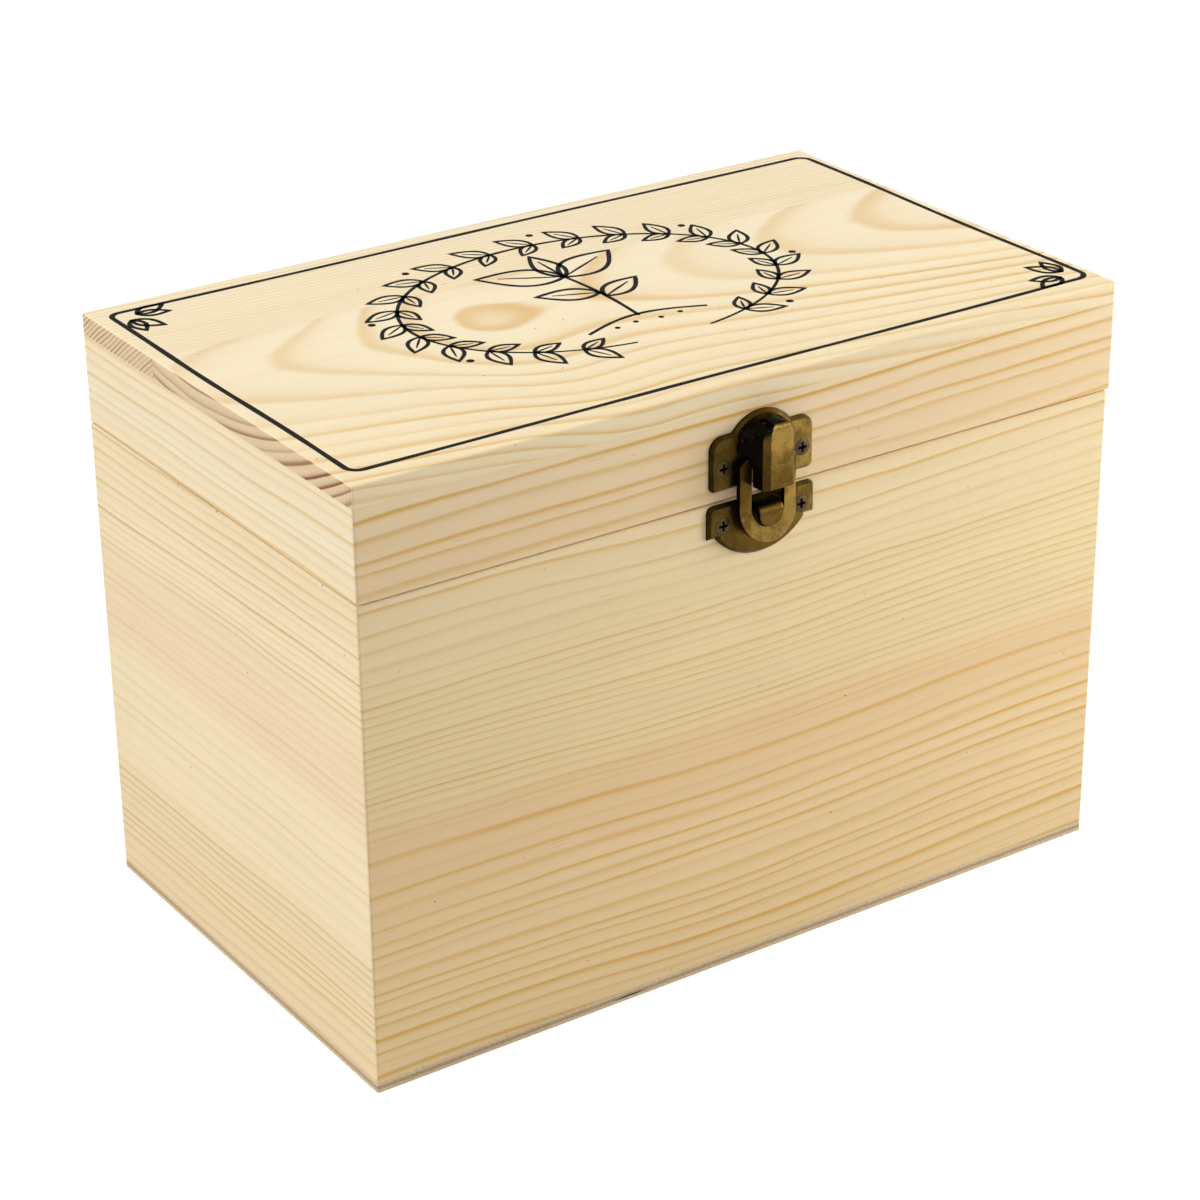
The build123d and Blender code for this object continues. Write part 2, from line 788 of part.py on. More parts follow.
with BuildPart() as latch_loop:
    # Side view: a strip whose lower end leans away from the box
    with BuildSketch(Plane.YZ):
        Polygon(
            (loop_back_y, loop_arm_top),
            (loop_back_y, lean_start),
            (loop_back_y - loop_lean, loop_bottom),
            (loop_front_y - loop_lean, loop_bottom),
            (loop_front_y, lean_start),
            (loop_front_y, loop_arm_top),
            align=None,
        )
        bend_corners = vertices().filter_by_position(Axis.Y, lean_start, lean_start)
        fillet(bend_corners, loop_lean_radius)
    extrude(amount=loop_width / 2, both=True)
    # Front view: the ring, its neck and its arms
    with BuildSketch(front_plane):
        link_outline(loop_width, loop_arm_outer_width, outer_turn_height, loop_arm_top, Mode.ADD)
        link_outline(
            loop_opening,
            loop_arm_inner_width,
            inner_turn_height,
            loop_arm_top + loop_thickness,
            Mode.SUBTRACT,
        )
        fillet(vertices().group_by(Axis.Y)[-1], loop_end_radius)
    extrude(amount=hood_front_depth, mode=Mode.INTERSECT)
    # Round the outer rim of the faces that look mostly forwards
    forward_share = 0.4
    rim_start = loop_opening / 2 + loop_edge_radius
    front_faces = latch_loop.faces().filter_by(lambda face: face.normal_at().Y < -forward_share)
    rim_edges = front_faces.edges().filter_by(lambda edge: abs((edge @ 0.5).X) > rim_start)
    fillet(rim_edges.filter_by(Axis.X, reverse=True), loop_edge_radius)
    arm_middle = (loop_arm_outer_width + loop_arm_inner_width) / 4
    for side in (-1, 1):
        with BuildSketch(Plane.YZ.offset(side * arm_middle)):
            with Locations((loop_pivot_y, loop_pivot_height)):
                Circle(loop_pin_radius)
        extrude(amount=side * (loop_pin_reach - arm_middle))
save(latch_loop, "latch_loop")

# ---------------------------------------------------------------------------
# Latch, lower plate: wings over a round apron, with the hook that the loop catches
# ---------------------------------------------------------------------------

disc_centre_height = lower_plate_top - disc_drop + disc_radius

# The hook is a tongue that runs out from the plate and curls down to a round tip.
hook_tip_y = front_y - hook_depth
hook_bottom = hook_top - hook_height
bend_share = math.sqrt(0.5)


def hook_tongue():
    """Hook of the lower plate: a bent strip cut to a flat-topped, round-bottomed front view."""
    outer = hook_bend_radius
    inner = hook_bend_radius - hook_wall
    bend_y = hook_tip_y + outer
    bend_z = hook_top - outer
    with BuildPart() as tongue:
        with BuildSketch(Plane.YZ):
            with BuildLine():
                top = Line((front_y, hook_top), (bend_y, hook_top))
                outside = ThreePointArc(
                    top @ 1,
                    (bend_y - outer * bend_share, bend_z + outer * bend_share),
                    (hook_tip_y, bend_z),
                )
                tip = Polyline(
                    outside @ 1,
                    (hook_tip_y, hook_bottom),
                    (hook_tip_y + hook_wall, hook_bottom),
                    (hook_tip_y + hook_wall, bend_z),
                )
                inside = ThreePointArc(
                    tip @ 1,
                    (bend_y - inner * bend_share, bend_z + inner * bend_share),
                    (bend_y, hook_top - hook_wall),
                )
                Polyline(inside @ 1, (front_y, hook_top - hook_wall), top @ 0)
            make_face()
        extrude(amount=hook_width / 2, both=True)
        with BuildSketch(front_plane):
            with Locations((0, hook_top)):
                Rectangle(hook_width, hook_height, align=(Align.CENTER, Align.MAX))
            fillet(vertices().group_by(Axis.Y)[0], hook_tip_radius)
        extrude(amount=2 * hook_depth, mode=Mode.INTERSECT)
        tip_face = tongue.faces().sort_by(Axis.Y)[0]
        fillet(tip_face.edges().filter_by(Axis.X, reverse=True), hook_edge_radius)
    return tongue.part


hook = hook_tongue()

with BuildPart() as latch_lower_plate:
    with BuildSketch(front_plane):
        with Locations((0, disc_centre_height)):
            Circle(disc_radius)
        with Locations((0, lower_plate_top)):
            Rectangle(
                disc_width,
                2 * disc_radius,
                align=(Align.CENTER, Align.MAX),
                mode=Mode.INTERSECT,
            )
            Rectangle(lower_plate_width, wing_height, align=(Align.CENTER, Align.MAX))
        fillet(vertices().group_by(Axis.Y)[-1], wing_corner_radius)
    extrude(amount=plate_thickness)
    chamfer(latch_lower_plate.faces().sort_by(Axis.Y)[0].outer_wire().edges(), plate_bevel)
    add(hook)
    with Locations(*[front_place(x, z, plate_thickness) for x, z in lower_screw_places]):
        screw_hole(latch_screw_head_radius, latch_screw_shank_radius)
save(latch_lower_plate, "latch_lower_plate")
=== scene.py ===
"""Looks of a hinged pine seed box: bare wood, printed lid, thin plywood, antique brass latch and hinges."""

import math

import bpy
import numpy as np
from mathutils import Matrix, Vector


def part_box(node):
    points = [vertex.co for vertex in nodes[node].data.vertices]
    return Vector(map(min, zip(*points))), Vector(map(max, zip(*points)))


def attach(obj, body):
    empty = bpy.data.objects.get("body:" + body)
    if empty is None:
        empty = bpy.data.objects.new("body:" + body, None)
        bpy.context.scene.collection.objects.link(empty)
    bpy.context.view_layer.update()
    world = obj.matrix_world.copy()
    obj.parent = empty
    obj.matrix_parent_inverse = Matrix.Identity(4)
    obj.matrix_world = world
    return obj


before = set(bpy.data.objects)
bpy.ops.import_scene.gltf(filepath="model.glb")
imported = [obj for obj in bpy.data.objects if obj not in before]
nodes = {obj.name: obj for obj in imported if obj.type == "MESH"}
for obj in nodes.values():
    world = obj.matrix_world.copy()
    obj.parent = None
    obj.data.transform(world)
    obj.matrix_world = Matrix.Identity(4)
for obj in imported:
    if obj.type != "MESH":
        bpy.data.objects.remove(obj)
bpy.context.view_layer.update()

# ---------------------------------------------------------------------------
# Camera: a long lens from the front left, a little above the lid
# ---------------------------------------------------------------------------

camera_turn = math.radians(-33.966)
camera_rise = math.radians(25.598)
camera_roll = math.radians(-0.547)
camera_distance = 0.93516
camera_target = Vector((-0.00194, 0.0, 0.08012))
camera_lens = 100.116
camera_sensor = 36.0

camera_back = Vector((
    math.sin(camera_turn) * math.cos(camera_rise),
    -math.cos(camera_turn) * math.cos(camera_rise),
    math.sin(camera_rise),
))
level_right = Vector((math.cos(camera_turn), math.sin(camera_turn), 0.0))
level_up = camera_back.cross(level_right)
camera_right = math.cos(camera_roll) * level_right + math.sin(camera_roll) * level_up
camera_up = -math.sin(camera_roll) * level_right + math.cos(camera_roll) * level_up

camera_data = bpy.data.cameras.new("camera")
camera_data.lens = camera_lens
camera_data.sensor_width = camera_sensor
camera = bpy.data.objects.new("camera", camera_data)
axes = Matrix((camera_right, camera_up, camera_back)).transposed()
camera.matrix_world = Matrix.Translation(camera_target + camera_back * camera_distance) @ axes.to_4x4()
bpy.context.scene.collection.objects.link(camera)
bpy.context.scene.camera = camera
bpy.context.scene.view_settings.view_transform = "Standard"


# ---------------------------------------------------------------------------
# Pine boards: bare sanded pine from edge-glued planks, cut and mitred on a saw.
# Growth rings cross each plank as thin amber late wood between bands of pale early
# wood, the heart side is pinker, and the saw's fine fibre shows along the grain.
# ---------------------------------------------------------------------------


class Value:
    """A socket of a shader tree that can be added, multiplied and compared like a number."""

    def __init__(self, tree, socket):
        self.tree = tree
        self.socket = socket

    def maths(self, operation, *others):
        """The Math node of that name, fed with this value and the others."""
        return node(self.tree, "ShaderNodeMath", {"operation": operation}, {
            index: value for index, value in enumerate((self, *others))
        })

    def __add__(self, other):
        return self.maths("ADD", other)

    __radd__ = __add__

    def __sub__(self, other):
        return self.maths("SUBTRACT", other)

    def __rsub__(self, other):
        return self.maths("MULTIPLY_ADD", -1.0, other)

    def __mul__(self, other):
        return self.maths("MULTIPLY", other)

    __rmul__ = __mul__

    def __truediv__(self, other):
        return self.maths("DIVIDE", other)

    def __pow__(self, other):
        return self.maths("POWER", other)

    def __neg__(self):
        return self.maths("MULTIPLY", -1.0)


def node(tree, kind, settings=None, inputs=None, output=0):
    """A node of that type: its settings first, then the values or links of its sockets."""
    made = tree.nodes.new(kind)
    for key, setting in (settings or {}).items():
        if key == "stops":
            ramp = made.color_ramp
            while len(ramp.elements) < len(setting):
                ramp.elements.new(1.0)
            for element, (place, colour) in zip(ramp.elements, setting):
                element.position = place
                element.color = (*colour, 1.0) if len(colour) == 3 else colour
        else:
            setattr(made, key, setting)
    for key, value in (inputs or {}).items():
        socket = made.inputs[key]
        if isinstance(value, Value):
            tree.links.new(value.socket, socket)
        elif hasattr(socket.default_value, "__len__") and len(socket.default_value) == 4 and len(value) == 3:
            socket.default_value = (*value, 1.0)
        else:
            socket.default_value = value
    return Value(tree, made.outputs[output]) if len(made.outputs) else None


def smooth_step(value, low, high):
    """0 below low, 1 above high, and an eased slope between them."""
    return node(value.tree, "ShaderNodeMapRange", {"interpolation_type": "SMOOTHSTEP"},
                {"Value": value, "From Min": low, "From Max": high})


def blend(amount, first, second):
    """Mix of two colours, the second in full where the amount is 1."""
    return node(amount.tree, "ShaderNodeMix", {"data_type": "RGBA"},
                {"Factor": amount, 6: first, 7: second}, output=2)


def tinted(colour, shade):
    """A colour multiplied by a grey number."""
    grey = node(colour.tree, "ShaderNodeCombineColor", {}, {0: shade, 1: shade, 2: shade})
    return node(colour.tree, "ShaderNodeMix", {"data_type": "RGBA", "blend_type": "MULTIPLY"},
                {"Factor": 1.0, 6: colour, 7: grey}, output=2)


def noise(tree, where, detail=2.0, roughness=0.5, size=1.0):
    """Smooth noise from 0 to 1, about 0.5, at a point that is already scaled."""
    return node(tree, "ShaderNodeTexNoise", {},
                {"Vector": where, "Scale": size, "Detail": detail, "Roughness": roughness})


def point(tree, x, y, z):
    """A vector of three numbers."""
    return node(tree, "ShaderNodeCombineXYZ", {}, {0: x, 1: y, 2: z})


def new_material(name):
    """An empty material, with its tree, its object coordinates and its shader."""
    material = bpy.data.materials.new(name)
    material.use_nodes = True
    tree = material.node_tree
    tree.nodes.clear()
    coordinates = tree.nodes.new("ShaderNodeTexCoord")
    place = node(tree, "ShaderNodeSeparateXYZ", {}, {0: Value(tree, coordinates.outputs["Object"])})
    split = place.socket.node
    xyz = [Value(tree, split.outputs[index]) for index in range(3)]
    turn = node(tree, "ShaderNodeSeparateXYZ", {}, {0: Value(tree, coordinates.outputs["Normal"])})
    facing = [Value(tree, turn.socket.node.outputs[index]) for index in range(3)]
    return material, tree, xyz, facing


def finish_material(material, tree, colour, roughness, height=None, bump_distance=0.0005, **constant):
    """Principled shader from a colour and a roughness, with a bump from the height."""
    inputs = {"Base Color": colour, "Roughness": roughness, **constant}
    if height is not None:
        inputs["Normal"] = node(tree, "ShaderNodeBump", {}, {"Strength": 1.0, "Distance": bump_distance,
                                                             "Height": height})
    shader = node(tree, "ShaderNodeBsdfPrincipled", {}, inputs)
    node(tree, "ShaderNodeOutputMaterial", {}, {"Surface": shader})
    return material


early_wood = (0.88, 0.73, 0.48)
sap_wood = (0.83, 0.66, 0.38)
heart_wood = (0.80, 0.575, 0.315)
late_wood = (0.68, 0.395, 0.085)
brown_late_wood = (0.60, 0.415, 0.17)
end_early_wood = (0.74, 0.50, 0.27)
end_late_wood = (0.24, 0.085, 0.030)
fibre_step = 0.00028
fibre_length = 0.018


def ramp(tree, where, stops):
    """Colour or grey number that runs through (place, value) stops, even between two of them."""
    low, high = stops[0][0], stops[-1][0]
    share = node(tree, "ShaderNodeMapRange", {}, {"Value": where, "From Min": low, "From Max": high})
    scaled = [((place - low) / (high - low), value if isinstance(value, tuple) else (value,) * 3)
              for place, value in stops]
    return node(tree, "ShaderNodeValToRGB", {"stops": scaled}, {0: share})


def grey(colour):
    """The red part of a colour, as a number."""
    return node(colour.tree, "ShaderNodeSeparateColor", {}, {0: colour})


def bump_shape(value, middle, width):
    """A smooth hump: e to the power of minus the square of the distance in widths."""
    reach = (value - middle) * (1.0 / width)
    return (reach * reach * -1.0).maths("EXPONENT")


def pine(name, along, across, through, seed, rings, tones, lines, curve=None, sag=None, lean=0.0, skew=0.0,
         second=None, line_colour=late_wood):
    """Solid pine. along, across and through are the axis numbers of the grain, the face and the depth.

    rings lists (place across the face, ring number): the rings between two places are even.
    tones and lines list (place across the face, colour) and (place, strength of the late wood).
    curve is (pith across, pith depth, tilt, knoll place, knoll width, knoll height): the rings are
    then circles round the pith, which sinks with the tilt and rises at the knoll. Otherwise they are
    planes, with a lean in depth, a skew along the grain and a sag of (place, depth, width).
    second is (glue line, lean, ring width) of a narrow plank beyond the glue line."""
    material, tree, xyz, facing = new_material(name)
    a, b, c = xyz[along], xyz[across], xyz[through]
    offset = point(tree, a * 7.0 + seed, b * 30.0, c * 30.0)
    wander = noise(tree, offset, 2.0) - 0.5
    ripple = noise(tree, point(tree, a * 38.0 + seed, b * 95.0, c * 95.0), 2.0) - 0.5
    if curve is not None:
        pith_across, pith_depth, tilt, knoll_place, knoll_width, knoll_height = curve
        side = b - pith_across + wander * 0.006 + ripple * 0.0008
        depth = c - pith_depth + a * tilt + bump_shape(a, knoll_place, knoll_width) * knoll_height
        face = (side * side + depth * depth).maths("SQRT") + wander * 0.0022
    else:
        face = b + wander * 0.007 + ripple * 0.0008 + a * skew + c * lean
    if sag is not None:
        dip_place, dip_depth, dip_width = sag
        face = face + bump_shape(a, dip_place, dip_width) * dip_depth

    last_ring = rings[-1][1]
    ring = grey(ramp(tree, face, [(place, number / last_ring) for place, number in rings])) * last_ring
    ring = ring + (noise(tree, point(tree, face * 160.0, seed, 0.0), 1.0) - 0.5) * 1.3
    if second is not None:
        glue_line, second_lean, ring_width = second
        beyond = smooth_step(b, glue_line, glue_line + 0.0003)
        other = (b + c * second_lean + a * 0.03 + wander * 0.004) * (1.0 / ring_width)
        ring = ring * (1.0 - beyond) + other * beyond
    age = ring.maths("FRACT")
    year = node(tree, "ShaderNodeTexWhiteNoise", {"noise_dimensions": "1D"}, {"W": ring.maths("FLOOR") + seed})
    flank = smooth_step(age, 0.20, 0.84) * 0.40 + smooth_step(age, 0.54, 0.84) * 0.60
    late = flank * (1.0 - smooth_step(age, 0.85, 1.0))
    fade = noise(tree, point(tree, a * 14.0, face * 60.0, seed + 4.0), 2.0)
    late = late * (0.30 + year * 0.85) * (0.40 + fade * 1.2)

    level = b + wander * 0.006
    tone = ramp(tree, level, tones)
    end = smooth_step(facing[along].maths("ABSOLUTE"), 0.75, 0.9)
    tone = blend(end * 0.55, tone, end_early_wood)
    line = blend(end, line_colour, end_late_wood)
    line_amount = late * (grey(ramp(tree, level, lines)) + end * 0.45)
    colour = blend(line_amount, tone, line)

    fibre = noise(tree, point(tree, a * (1 / fibre_length), b * (1 / fibre_step), c * (1 / fibre_step)), 3.0, 0.6)
    streak = noise(tree, point(tree, a * 10.0 + seed, b * 420.0, c * 420.0), 2.0)
    cloud = noise(tree, point(tree, a * 9.0, b * 22.0, c * 22.0 + seed), 3.0)
    shade = 0.920 + fibre * 0.05 + streak * 0.09 + cloud * 0.08 - end * 0.08
    duct_field = noise(tree, point(tree, a * 95.0, b * 1700.0, c * 1700.0), 1.0)
    ducts = smooth_step(duct_field, 0.72, 0.80)
    speck_field = noise(tree, point(tree, a * 520.0 + seed, b * 800.0, c * 800.0), 0.0)
    specks = smooth_step(speck_field, 0.885, 0.90)
    colour = tinted(colour, shade * (1.0 - ducts * 0.14) * (1.0 - specks * 0.6))
    height = fibre * 0.5 + late * 0.35
    return finish_material(material, tree, colour, 0.62 - late * 0.10, height, 0.00010,
                           **{"Specular IOR Level": 0.30})


front_pine = pine(
    "front_pine", 0, 2, 1, 3.0,
    rings=[(-0.02, 0.0), (0.020, 11.0), (0.050, 18.0), (0.0535, 19.5), (0.0735, 28.0), (0.096, 37.0),
           (0.125, 43.0), (0.160, 47.0)],
    tones=[(0.0, (0.83, 0.63, 0.34)), (0.045, (0.82, 0.61, 0.34)), (0.058, heart_wood), (0.0725, heart_wood),
           (0.0765, (0.82, 0.64, 0.36)), (0.100, (0.84, 0.67, 0.38)), (0.139, (0.86, 0.68, 0.41))],
    lines=[(0.0, 0.86), (0.045, 0.80), (0.055, 0.70), (0.0735, 0.72), (0.080, 0.64), (0.100, 0.58),
           (0.116, 0.56), (0.139, 0.62)],
    sag=(0.0, 0.003, 0.06), lean=0.3,
)
back_pine = pine(
    "back_pine", 0, 2, 1, 11.0,
    rings=[(-0.02, 0.0), (0.030, 8.0), (0.080, 20.0), (0.120, 34.0), (0.160, 40.0)],
    tones=[(0.0, early_wood), (0.060, sap_wood), (0.100, heart_wood), (0.139, early_wood)],
    lines=[(0.0, 0.6), (0.139, 0.6)],
    sag=(0.03, 0.006, 0.05), lean=-0.2,
)
left_pine = pine(
    "left_pine", 1, 2, 0, 21.0,
    rings=[(-0.02, 0.0), (0.015, 9.0), (0.035, 17.0), (0.075, 27.0), (0.105, 37.0), (0.118, 43.0), (0.139, 50.0),
           (0.16, 56.0)],
    tones=[(0.0, (0.85, 0.67, 0.42)), (0.034, (0.86, 0.69, 0.43)), (0.042, early_wood), (0.072, early_wood),
           (0.080, (0.86, 0.66, 0.43)), (0.100, (0.86, 0.68, 0.44)), (0.112, early_wood),
           (0.139, (0.87, 0.70, 0.45))],
    lines=[(0.0, 0.54), (0.018, 0.84), (0.034, 0.74), (0.040, 0.30), (0.072, 0.30), (0.100, 0.38),
           (0.112, 0.80), (0.130, 0.88), (0.139, 0.62)],
    skew=0.02, line_colour=brown_late_wood,
)
right_pine = pine(
    "right_pine", 1, 2, 0, 31.0,
    rings=[(-0.02, 0.0), (0.050, 12.0), (0.090, 26.0), (0.160, 40.0)],
    tones=[(0.0, early_wood), (0.050, heart_wood), (0.080, early_wood), (0.139, sap_wood)],
    lines=[(0.0, 0.5), (0.139, 0.5)],
    skew=-0.02,
)
lid_front_pine = pine(
    "lid_front_pine", 0, 2, 1, 41.0,
    rings=[(0.120, 0.0), (0.139, 5.0), (0.165, 10.5), (0.18, 13.0)],
    tones=[(0.139, (0.83, 0.62, 0.36)), (0.155, (0.84, 0.64, 0.39)), (0.165, (0.86, 0.68, 0.42))],
    lines=[(0.139, 1.0), (0.165, 1.0)],
    skew=-0.018,
)
lid_back_pine = pine(
    "lid_back_pine", 0, 2, 1, 51.0,
    rings=[(0.120, 0.0), (0.139, 5.0), (0.165, 13.0), (0.18, 17.0)],
    tones=[(0.139, early_wood), (0.155, heart_wood), (0.165, early_wood)],
    lines=[(0.139, 0.5), (0.165, 0.5)],
)
lid_end_pine = pine(
    "lid_end_pine", 1, 2, 0, 61.0,
    rings=[(0.120, 0.0), (0.139, 5.0), (0.165, 13.0), (0.18, 18.0)],
    tones=[(0.139, early_wood), (0.150, (0.87, 0.76, 0.54)), (0.165, early_wood)],
    lines=[(0.139, 0.55), (0.165, 0.50)],
)
lid_top_pine = pine(
    "lid_top_pine", 0, 1, 2, 71.0,
    rings=[(0.08, 0.0), (0.118, 13.0), (0.128, 17.0), (0.150, 24.0), (0.18, 34.0)],
    tones=[(-0.071, (0.88, 0.72, 0.46)), (-0.030, (0.90, 0.76, 0.51)), (0.028, (0.90, 0.77, 0.54)),
           (0.031, (0.88, 0.74, 0.50)), (0.071, (0.89, 0.76, 0.53))],
    lines=[(-0.071, 0.62), (0.028, 0.58), (0.034, 0.40), (0.071, 0.40)],
    curve=(0.006, 0.290, 0.085, -0.040, 0.022, 0.0035), second=(0.030, 1.4, 0.0021),
)

board_finish = {
    "front_wall": front_pine,
    "back_wall": back_pine,
    "left_wall": left_pine,
    "right_wall": right_pine,
    "lid_front_wall": lid_front_pine,
    "lid_back_wall": lid_back_pine,
    "lid_left_wall": lid_end_pine,
    "lid_right_wall": lid_end_pine,
    "lid_top": lid_top_pine,
}


def dress(name, material):
    """Give a carried-over piece its finish in every slot."""
    data = nodes[name].data
    data.materials.clear()
    data.materials.append(material)


for board, finish in board_finish.items():
    dress(board, finish)

# ---------------------------------------------------------------------------
# Floor panel and dividers: thin plywood, three peeled veneers glued crosswise.
# The faces are pale and quiet, and the sawn edges show the darker middle ply.
# ---------------------------------------------------------------------------

ply_face = (0.78, 0.66, 0.46)
ply_edge = (0.72, 0.565, 0.365)
ply_core = (0.50, 0.37, 0.23)
ply_void_shade = (0.07, 0.04, 0.03)


def plywood(name, along, across, through, start, thickness, seed):
    """Plywood whose plies stack along the through axis from the given start."""
    material, tree, xyz, facing = new_material(name)
    a, b, c = xyz[along], xyz[across], xyz[through]
    level = (c - start) * (1.0 / thickness)
    core = smooth_step(level, 0.30, 0.34) * (1.0 - smooth_step(level, 0.66, 0.70))
    edge = 1.0 - smooth_step(facing[through].maths("ABSOLUTE"), 0.75, 0.9)
    wander = noise(tree, point(tree, a * 9.0 + seed, b * 9.0, c * 9.0), 2.0) - 0.5
    swirl = (b * 34.0 + wander * 3.4 + noise(tree, point(tree, a * 3.0, seed, b * 3.0), 1.0) * 2.0)
    figure = smooth_step(swirl.maths("FRACT"), 0.5, 0.95)
    face = blend(figure * 0.25, ply_face, (0.66, 0.46, 0.24))
    cut = noise(tree, point(tree, a * 900.0, b * 900.0, c * 2600.0), 3.0)
    edge_colour = tinted(blend(core, ply_edge, ply_core), 0.60 + cut * 0.8)
    # painted shade: small voids in the middle ply show as near-black spots on the sawn edges
    gap_field = noise(tree, point(tree, a * 46.0 + seed, b * 46.0, c * 500.0), 1.0)
    void_shade = smooth_step(gap_field, 0.735, 0.755) * edge * core
    colour = blend(edge, face, edge_colour)
    colour = blend(void_shade, colour, ply_void_shade)
    fibre = noise(tree, point(tree, a * 60.0, b * 2600.0, c * 2600.0), 3.0, 0.6)
    colour = tinted(colour, 0.93 + fibre * 0.14)
    return finish_material(material, tree, colour, 0.72, fibre * 0.6 + cut * edge, 0.00012,
                           **{"Specular IOR Level": 0.25})


floor_low, floor_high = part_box("bottom_panel")
dress("bottom_panel", plywood("floor_plywood", 0, 1, 2, floor_low[2], floor_high[2] - floor_low[2], 2.0))
divider_names = sorted(name for name in nodes if name.startswith("divider_"))
for index, name in enumerate(divider_names):
    low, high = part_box(name)
    dress(name, plywood(f"{name}_plywood", 1, 2, 0, low[0], high[0] - low[0], 5.0 + 3.7 * index))

# ---------------------------------------------------------------------------
# Printed design: black ink stamped straight on the bare lid, a plain frame with
# leafy corners and a line-drawn wreath round a seedling. Flat ribbons of ink lie
# on the wood.
# ---------------------------------------------------------------------------

lid_low, lid_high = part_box("lid_top")
ink_level = lid_high[2]
ink_thickness = 0.00004
ink_line = 0.0013
ink_pieces = []


def ribbon(points, width, closed=False, taper=0.0):
    """Flat band of ink along a path: each point moves half the width along its own normal.

    A taper thins the width towards both ends as one minus the taper times the distance from the middle."""
    path = np.asarray(points, dtype=float)
    ahead = np.roll(path, -1, axis=0) - path
    behind = path - np.roll(path, 1, axis=0)
    if not closed:
        ahead[-1] = behind[-1]
        behind[0] = ahead[0]
    ahead /= np.linalg.norm(ahead, axis=1)[:, None]
    behind /= np.linalg.norm(behind, axis=1)[:, None]
    tangent = ahead + behind
    tangent /= np.linalg.norm(tangent, axis=1)[:, None]
    normal = np.stack([-tangent[:, 1], tangent[:, 0]], axis=1)
    mitre = np.clip(1.0 / np.maximum((normal * np.stack([-ahead[:, 1], ahead[:, 0]], axis=1)).sum(1), 0.5), 1, 1.5)
    share = np.abs(np.linspace(-1, 1, len(path)))
    uneven = 1.0 + 0.05 * np.sin(np.arange(len(path)) * 0.9) + 0.04 * np.sin(np.arange(len(path)) * 0.37)
    half = 0.5 * width * mitre * (1.0 - taper * share) * uneven
    left = path + normal * half[:, None]
    right = path - normal * half[:, None]
    count = len(path)
    rims = np.concatenate([left, right])
    verts = np.concatenate([
        np.column_stack([rims, np.full(2 * count, ink_level)]),
        np.column_stack([rims, np.full(2 * count, ink_level + ink_thickness)]),
    ])
    steps = count if closed else count - 1
    i = np.arange(steps)
    j = (i + 1) % count
    low_left, low_right = i, i + count
    up = 2 * count
    top = np.stack([i + up, i + count + up, j + count + up, j + up], axis=1)
    base = np.stack([low_left, j, j + count, low_right], axis=1)
    left_side = np.stack([i, i + up, j + up, j], axis=1)
    right_side = np.stack([i + count, j + count, j + count + up, i + count + up], axis=1)
    faces = np.concatenate([top, base, left_side, right_side])
    if not closed:
        caps = np.array([
            [0, count, count + up, up],
            [count - 1, count - 1 + up, 2 * count - 1 + up, 2 * count - 1],
        ])
        faces = np.concatenate([faces, caps])
    return verts, faces


def dot(centre, radius, sides=20):
    """Round spot of ink: a rim of points at even angles and a closed disc above and below."""
    angle = np.linspace(0, 2 * math.pi, sides, endpoint=False)
    ring = np.column_stack([centre[0] + radius * np.cos(angle), centre[1] + radius * np.sin(angle)])
    middle = np.array([[centre[0], centre[1]]])
    flat = np.concatenate([ring, middle])
    verts = np.concatenate([
        np.column_stack([flat, np.full(sides + 1, ink_level)]),
        np.column_stack([flat, np.full(sides + 1, ink_level + ink_thickness)]),
    ])
    i = np.arange(sides)
    j = (i + 1) % sides
    up = sides + 1
    top = np.stack([i + up, j + up, np.full(sides, sides + up)], axis=1)
    base = np.stack([j, i, np.full(sides, sides)], axis=1)
    side = np.stack([i, j, j + up, i + up], axis=1)
    return verts, top.tolist() + base.tolist() + side.tolist()


def leaf(base, tip, belly):
    """Outline of a leaf: two bows from base to tip, each a sine of the distance along it."""
    base, tip = np.asarray(base, float), np.asarray(tip, float)
    t = np.linspace(0, 1, 15)
    spine = base + (tip - base) * t[:, None]
    normal = np.array([-(tip - base)[1], (tip - base)[0]])
    bow = (np.sin(math.pi * t ** 0.8) * belly)[:, None] * normal
    return np.concatenate([spine + bow, (spine - bow)[::-1][1:-1]])


def print_design(name, shapes):
    """One inked piece from several closed shapes, merged into a single mesh."""
    verts, faces = [], []
    for shape_verts, shape_faces in shapes:
        start = len(verts)
        verts.extend(map(tuple, shape_verts))
        faces.extend([[int(index) + start for index in face] for face in shape_faces])
    mesh = bpy.data.meshes.new(name)
    mesh.from_pydata(verts, [], faces)
    mesh.validate()
    piece = bpy.data.objects.new(name, mesh)
    bpy.context.scene.collection.objects.link(piece)
    mesh.materials.append(ink)
    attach(piece, "lid")
    return piece


material, tree, xyz, facing = new_material("black_ink")
speckle = noise(tree, point(tree, xyz[0] * 2400.0, xyz[1] * 2400.0, 0.0), 2.0)
wood_gap = smooth_step(noise(tree, point(tree, xyz[0] * 90.0, xyz[1] * 2600.0, 0.0), 2.0), 0.60, 0.76)
ink_colour = blend(wood_gap * 0.25 + speckle * 0.04, (0.006, 0.006, 0.006), (0.13, 0.10, 0.07))
ink = finish_material(material, tree, ink_colour, 0.75, speckle, 0.00004, **{"Specular IOR Level": 0.12})

# The border: a hand-drawn rectangle a few millimetres inside the lid's edge
border_left, border_right = -0.1155, 0.1168
border_front, border_back = -0.0635, 0.0648
border_turn = 0.0035
border_line = 0.0016


